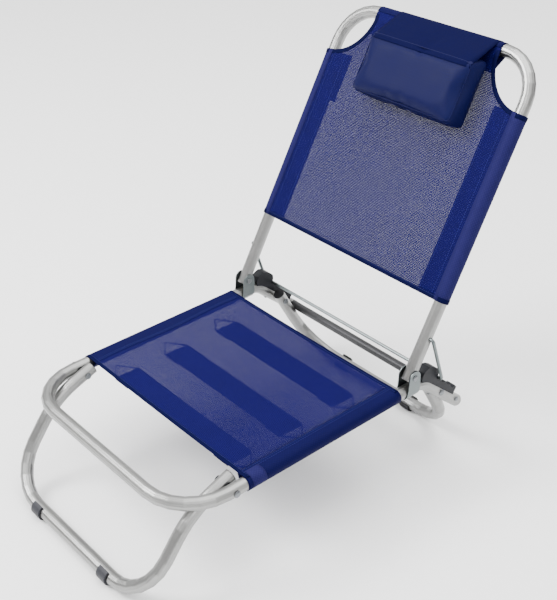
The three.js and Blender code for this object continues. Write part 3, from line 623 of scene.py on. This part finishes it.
def back_sag(x, t):
    """How far the backrest sheet lies back from the front of the tubes."""
    across = 1 - min(1.0, (x / SAG_END) ** 2)
    down = min(1.0, max(0.0, (BACK_LENGTH - t) / (BACK_LENGTH - BACK_LOW_T)))
    height = math.sin(math.pi * down ** SAG_FULLNESS)
    return BACK_SAG * across * max(0.0, height)


def back_point(x, t, raise_by=0.0):
    return back(x, t, WRAP_R - back_sag(x, t) + raise_by)


cut_ts = [CUT_TOP_T - (CUT_TOP_T - SLEEVE_TOP_T) * math.cos(a) for a in spread(0, math.pi / 2, 15)]
panel_ts = spread(BACK_LOW_T, SLEEVE_TOP_T, 24)[:-1] + cut_ts + [BACK_LENGTH]
back_panel = cloth_sheet(
    "back_panel",
    [[back_point(back_half_width(t) * s, t) for s in spread(-1, 1, 41)] for t in panel_ts],
    MESH,
)
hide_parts("backrest_cloth")

back_pieces = []
HEM_OVERLAP = 4 * MM
HEM_END_X = RAIL_X - 15 * MM
BEHIND_ANGLE = -0.62 * math.pi
CUFF_LIFT = 0.15 * MM
CORNER_TAPE_END = 4 * MM
CORNER_TAPE_OVERHANG = 0.6 * MM
BACK_SECTION = wrap_section(BACK_HEM_X, WRAP_R - BACK_HEM_DROP, WRAP_R + CLOTH)[FLAT_STEPS - 2:]
for tag, sign in (("left", -1), ("right", 1)):
    rows = []
    for t in spread(BACK_LOW_T, SLEEVE_TOP_T, 24):
        row = []
        for k, (x, n) in enumerate(BACK_SECTION):
            row.append(back(sign * x, t, n - back_sag(x, t) * underside_share(k, len(BACK_SECTION))))
        rows.append(row)
    # The sleeve's paler colour is a painted highlight.
    back_pieces.append(cloth_sheet(f"back_sleeve_{tag}", rows, SLEEVE_PAINTED_HIGHLIGHT))
    hem_rows = [
        [back_point(sign * x, t, -UNDER_DROP) for x in spread(BACK_HEM_X - HEM_OVERLAP, HEM_END_X, 8)]
        for t in spread(BACK_LOW_T, SLEEVE_TOP_T, 20)
    ]
    back_pieces.append(cloth_sheet(f"back_hem_{tag}", hem_rows, HEM, UNDER_CLOTH))
    for inset in BACK_SEAM_INSETS:
        seam_ts = spread(BACK_LOW_T, SLEEVE_TOP_T, 24)
        line = [back_point(sign * (BACK_HEM_X + inset), t, SEAM_LIFT) for t in seam_ts]
        back_pieces.append(stitch_line(f"back_seam_{tag}_{round(inset / MM)}", line, OUT, THREAD_AND_PAINTED_HIGHLIGHT))
    cut_path = [Vector((sign * back_half_width(t), t, 0)) for t in cut_ts]
    cut_path.append(Vector((sign * TOP_HALF, BACK_LENGTH - CORNER_TAPE_END, 0)))
    inward, spots = [], []
    for k, p in enumerate(cut_path):
        step = cut_path[min(len(cut_path) - 1, k + 1)] - cut_path[max(0, k - 1)]
        aside = Vector((-step.y, step.x, 0)).normalized()
        if aside.x * sign > 0:
            aside.negate()
        centre = p + aside * (TAPE / 2 - CORNER_TAPE_OVERHANG)
        inward.append(Vector((aside.x, 0, 0)) + UP * aside.y)
        spots.append(back_point(centre.x, centre.y))
    back_pieces.append(tape_along(f"back_corner_tape_{tag}", spots, lambda k, side=inward: side[k],
                                  lambda k: OUT, TAPE, TAPE_T, TAPE_CLOTH))
    for part, t in (("top", SLEEVE_TOP_T - TAPE / 2), ("low", BACK_LOW_T + TAPE / 2)):
        ring = []
        for a in spread(math.pi / 2, BEHIND_ANGLE, 20):
            reach = WRAP_R + CLOTH + CUFF_LIFT
            ring.append(back(sign * (RAIL_X + reach * math.cos(a)), t, reach * math.sin(a)))
        middle = back(sign * RAIL_X, t, 0)
        back_pieces.append(tape_along(
            f"back_cuff_{part}_{tag}", ring, lambda k: UP,
            lambda k, points=ring, at=middle: (points[k] - at).normalized(), TAPE, CUFF_T, TAPE_CLOTH))

BACK_PATCH_LOW_T = 366 * MM
BACK_PATCH_X = BACK_HEM_X - 15 * MM
patch = [
    [back_point(-x, t, -2 * UNDER_DROP) for x in spread(BACK_PATCH_X, HEM_END_X, 8)]
    for t in spread(BACK_PATCH_LOW_T, SLEEVE_TOP_T, 10)
]
back_pieces.append(cloth_sheet("back_patch_left", patch, HEM, UNDER_CLOTH))

bottom_xs = spread(-RAIL_X, RAIL_X, 45)
bottom = [back_point(x, BACK_LOW_T + TAPE / 2) for x in bottom_xs]
back_pieces.append(tape_along("back_bottom_tape", bottom, lambda k: UP, lambda k: OUT,
                              TAPE, TAPE_T, TAPE_CLOTH))
line = [back_point(x, BACK_LOW_T + TAPE - TAPE_SEAM_INSET, TAPE_SEAM_LIFT) for x in bottom_xs]
back_pieces.append(stitch_line("back_bottom_seam", line, OUT, THREAD_AND_PAINTED_HIGHLIGHT))

top_hem_n = WRAP_R - BACK_HEM_DROP
top_last = tangent_angle(TOP_HEM_T - BACK_LENGTH, top_hem_n, WRAP_R) - 2 * math.pi
top_section = [(BACK_LENGTH + WRAP_R * math.cos(a), WRAP_R * math.sin(a))
               for a in spread(math.pi / 2, top_last, 20)]
tail_t, tail_n = top_section[-1]
for share in spread(0, 1, 7)[1:]:
    top_section.append((tail_t + (TOP_HEM_T - tail_t) * share, tail_n + (top_hem_n - tail_n) * share))
back_pieces.append(cloth_sheet(
    "back_top_sleeve",
    [[back(x, t, n) for x in spread(-TOP_HALF, TOP_HALF, 21)] for t, n in top_section],
    HEM, HEM_CLOTH))
front_hem = [[back_point(x, t, -UNDER_DROP) for x in spread(-TOP_HALF, TOP_HALF, 21)]
             for t in spread(TOP_HEM_T, BACK_LENGTH, 6)]
back_pieces.append(cloth_sheet("back_top_hem", front_hem, HEM, UNDER_CLOTH))
line = [back_point(x, TOP_HEM_T + TOP_SEAM_INSET, SEAM_LIFT) for x in spread(-TOP_HALF, TOP_HALF, 21)]
back_pieces.append(stitch_line("back_top_seam", line, OUT, THREAD_AND_PAINTED_HIGHLIGHT))


# ---- Pillow and its flap ----

PILLOW_X = 18 * MM
PILLOW_SIZE = Vector((232, 108, 42)) * MM
PILLOW_T = 449 * MM
PILLOW_BACK_N = 14 * MM
PILLOW_FACE_SHARE = 0.965
PILLOW_WEDGE = 13 * MM
PILLOW_EDGE = 7 * MM
PILLOW_PRESSURE = 4.0
PILLOW_FRAMES = 16
PILLOW_MOST = 6 * MM
PILLOW_VOXEL = 5 * MM
PIPING_R = 0.9 * MM


def pillow_block():
    """The pillow before it is filled: a boxed pad, its face a little smaller than its back."""
    bm = bmesh.new()
    bmesh.ops.create_cube(bm, size=1.0)
    for v in bm.verts:
        shrink = PILLOW_FACE_SHARE if v.co.z > 0 else 1.0
        rise = PILLOW_WEDGE if v.co.y > 0 and v.co.z < 0 else 0.0
        x, y, z = v.co.x * PILLOW_SIZE.x, v.co.y * PILLOW_SIZE.y, v.co.z * PILLOW_SIZE.z
        v.co = Vector((x * shrink, y * shrink + rise, z))
    bmesh.ops.bevel(bm, geom=bm.edges[:] + bm.verts[:], offset=PILLOW_EDGE, segments=3,
                    affect="EDGES", profile=0.6)
    return new_object("headrest", bm, PILLOW_CLOTH)


def fill_with_air(obj, pressure, frames, most):
    """Blows a closed cloth up a little and keeps the shape it takes, each point moving at most so far."""
    remesh = obj.modifiers.new("remesh", "REMESH")
    remesh.mode = "VOXEL"
    remesh.voxel_size = PILLOW_VOXEL
    settle(obj)
    start = [v.co.copy() for v in obj.data.vertices]
    cloth = obj.modifiers.new("cloth", "CLOTH")
    cloth.settings.quality = 6
    cloth.settings.mass = 0.3
    cloth.settings.tension_stiffness = 18
    cloth.settings.compression_stiffness = 18
    cloth.settings.bending_stiffness = 2.0
    cloth.settings.use_pressure = True
    cloth.settings.uniform_pressure_force = pressure
    cloth.settings.effector_weights.gravity = 0
    cloth.point_cache.frame_start = 1
    cloth.point_cache.frame_end = frames
    for number in range(1, frames + 1):
        bpy.context.scene.frame_set(number)
    settle(obj)
    bpy.context.scene.frame_set(1)
    for v, first in zip(obj.data.vertices, start):
        move = v.co - first
        if move.length > most:
            v.co = first + move * (most / move.length)
    evened = obj.modifiers.new("evened", "SMOOTH")
    evened.factor = 0.5
    evened.iterations = 5
    finer = obj.modifiers.new("finer", "SUBSURF")
    finer.levels = 1
    settle(obj)


def settle(obj):
    """Replaces the mesh with what its modifiers make of it."""
    graph = bpy.context.evaluated_depsgraph_get()
    made = bpy.data.meshes.new_from_object(obj.evaluated_get(graph))
    materials = list(obj.data.materials)
    obj.modifiers.clear()
    obj.data = made
    obj.data.materials.clear()
    for material in materials:
        obj.data.materials.append(material)


headrest = pillow_block()
fill_with_air(headrest, PILLOW_PRESSURE, PILLOW_FRAMES, PILLOW_MOST)


def pillow_to_back(p):
    return back(PILLOW_X + p.x, PILLOW_T + p.y, PILLOW_BACK_N + PILLOW_SIZE.z / 2 + p.z)


pillow_surface = BVHTree.FromPolygons(
    [v.co for v in headrest.data.vertices], [f.vertices for f in headrest.data.polygons])

RIM_LEVEL = 0.93
RIM_INSET = 3 * MM
RIM_LIFT = 0.2 * MM
RIM_SMOOTHING = 6
RIM_STEPS = 96
RIM_SQUARENESS = 0.16


def squared(value):
    """Pushes a sine or cosine towards 1 or -1, so that a round loop fills out towards a rectangle."""
    return math.copysign(abs(value) ** RIM_SQUARENESS, value)


def pillow_rim(z_share, inset, lift):
    """A loop round the pillow near one of its edges, laid on its surface, in the pillow's own axes."""
    half = PILLOW_SIZE / 2 - Vector((inset, inset, 0))
    loop = []
    for k in range(RIM_STEPS):
        a = 2 * math.pi * k / RIM_STEPS
        across, upward = squared(math.cos(a)), squared(math.sin(a))
        guess = Vector((half.x * across, half.y * upward, half.z * z_share))
        spot, normal, _, _ = pillow_surface.find_nearest(guess)
        loop.append(spot + normal * lift)
    for _ in range(RIM_SMOOTHING):
        loop = [(loop[k - 1] + loop[k] * 2 + loop[(k + 1) % len(loop)]) / 4 for k in range(len(loop))]
    return loop


rim_front = [pillow_to_back(p) for p in pillow_rim(RIM_LEVEL, RIM_INSET, RIM_LIFT)]
rim_back = [pillow_to_back(p) for p in pillow_rim(-RIM_LEVEL, RIM_INSET, RIM_LIFT)]
for v in headrest.data.vertices:
    v.co = pillow_to_back(v.co)
finish_mesh(headrest, PILLOW_CLOTH)
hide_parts("headrest_pillow")
pillow_pieces = [
    round_cord("headrest_seam_front", rim_front, PIPING_R, PILLOW_CLOTH, closed=True),
    round_cord("headrest_seam_back", rim_back, PIPING_R, PILLOW_CLOTH, closed=True),
]

FLAP_R = 12.75 * MM
FLAP_HALF = 109 * MM
FLAP_LIFT = 0.7 * MM
FLAP_FACE_YS = [y * MM for y in (41.5, 43.5, 45.5, 47.5)]


def flap_column(x):
    """The flap at one place across: up the pillow's face, straight to the bar and round it, as (t, n)."""
    column = []
    for y in FLAP_FACE_YS:
        hit = pillow_surface.ray_cast(Vector((x, y, PILLOW_SIZE.z)), Vector((0, 0, -1)))[0]
        column.append((PILLOW_T + y, PILLOW_BACK_N + PILLOW_SIZE.z / 2 + hit.z + FLAP_LIFT))
    t, n = column[-1]
    reach = math.hypot(t - BACK_LENGTH, n)
    first = math.atan2(n, t - BACK_LENGTH) - math.acos(FLAP_R / reach)
    bar_t, bar_n = BACK_LENGTH + FLAP_R * math.cos(first), FLAP_R * math.sin(first)
    column += [(t + (bar_t - t) * share, n + (bar_n - n) * share) for share in spread(0, 1, 9)[1:-1]]
    turns = spread(first, BEHIND_ANGLE, 18)
    column += [(BACK_LENGTH + FLAP_R * math.cos(a), FLAP_R * math.sin(a)) for a in turns]
    return column


flap_xs = spread(-FLAP_HALF, FLAP_HALF, 25)
flap_columns = [flap_column(x) for x in flap_xs]
flap_rows = []
for k in range(len(flap_columns[0])):
    flap_rows.append([back(PILLOW_X + x, *column[k]) for x, column in zip(flap_xs, flap_columns)])
flap = cloth_sheet("headrest_flap", flap_rows, TAPE_CLOTH)
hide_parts("pillow_flap")

# ---- What moves with what ----

for piece in [seat_panel, *seat_pieces, *(entry[0] for entry in straps)]:
    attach(piece, "seat_frame")
for piece in [back_panel, *back_pieces, headrest, *pillow_pieces, flap]:
    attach(piece, "backrest")

# ---- Floor, light and camera ----

FLOOR_SIZE = 6.0
FLOOR_DROP = 0.4 * MM
WORLD_STRENGTH = 2.3


def studio_floor():
    bm = bmesh.new()
    bmesh.ops.create_grid(bm, x_segments=2, y_segments=2, size=FLOOR_SIZE)
    n = Nodes("pale_floor")
    speckle = n.noise(n.where(), 60.0, 4.0)
    tone = n.mix(speckle, rgb(0.93, 0.93, 0.93), rgb(0.96, 0.96, 0.96))
    pale = n.shade(Base_Color=tone, Roughness=n.span(speckle, 0.7, 0.8))
    floor = new_object("studio_floor", bm, pale, smooth=False)
    floor.location.z = -FLOOR_DROP
    return floor


studio_floor()


def softbox(name, place, aim, size, power):
    lamp = bpy.data.lights.new(name, "AREA")
    lamp.shape = "SQUARE"
    lamp.size = size
    lamp.energy = power
    obj = bpy.data.objects.new(name, lamp)
    bpy.context.scene.collection.objects.link(obj)
    obj.location = place
    obj.rotation_euler = (Vector(aim) - Vector(place)).to_track_quat("-Z", "Y").to_euler()


softbox("key_light", (-1.6, -1.9, 2.6), (0, 0, 0.3), 1.4, 150.0)
softbox("fill_light", (2.4, -1.2, 1.8), (0, 0, 0.3), 1.8, 22.0)
softbox("top_light", (0.2, 0.5, 3.0), (0, 0, 0.2), 2.2, 70.0)


def studio_world():
    """A room whose walls are dim at eye level and bright overhead, so that round metal shows its shape."""
    world = bpy.data.worlds.new("studio")
    world.use_nodes = True
    tree = world.node_tree
    place = tree.nodes.new("ShaderNodeTexCoord")
    split = tree.nodes.new("ShaderNodeSeparateXYZ")
    ramp = tree.nodes.new("ShaderNodeValToRGB")
    tree.links.new(place.outputs["Generated"], split.inputs["Vector"])
    tree.links.new(split.outputs["Z"], ramp.inputs["Fac"])
    stops = [(0.0, 0.16), (0.25, 0.24), (0.55, 0.85), (1.0, 1.05)]
    while len(ramp.color_ramp.elements) < len(stops):
        ramp.color_ramp.elements.new(0.5)
    for element, (spot, level) in zip(ramp.color_ramp.elements, stops):
        element.position = spot
        element.color = (level, level, level, 1.0)
    tree.links.new(ramp.outputs["Color"], tree.nodes["Background"].inputs["Color"])
    tree.nodes["Background"].inputs["Strength"].default_value = WORLD_STRENGTH
    return world


bpy.context.scene.world = studio_world()

CAMERA_AT = Vector((1.2147, -1.0127, 1.2343))
AZIMUTH = math.radians(49.24)
ELEVATION = math.radians(30.48)
camera_data = bpy.data.cameras.new("camera")
camera_data.sensor_width = 36.0
camera_data.lens = 66.67
camera = bpy.data.objects.new("camera", camera_data)
bpy.context.scene.collection.objects.link(camera)
camera.location = CAMERA_AT
camera.rotation_euler = (math.pi / 2 - ELEVATION, 0.0, AZIMUTH)
bpy.context.scene.camera = camera
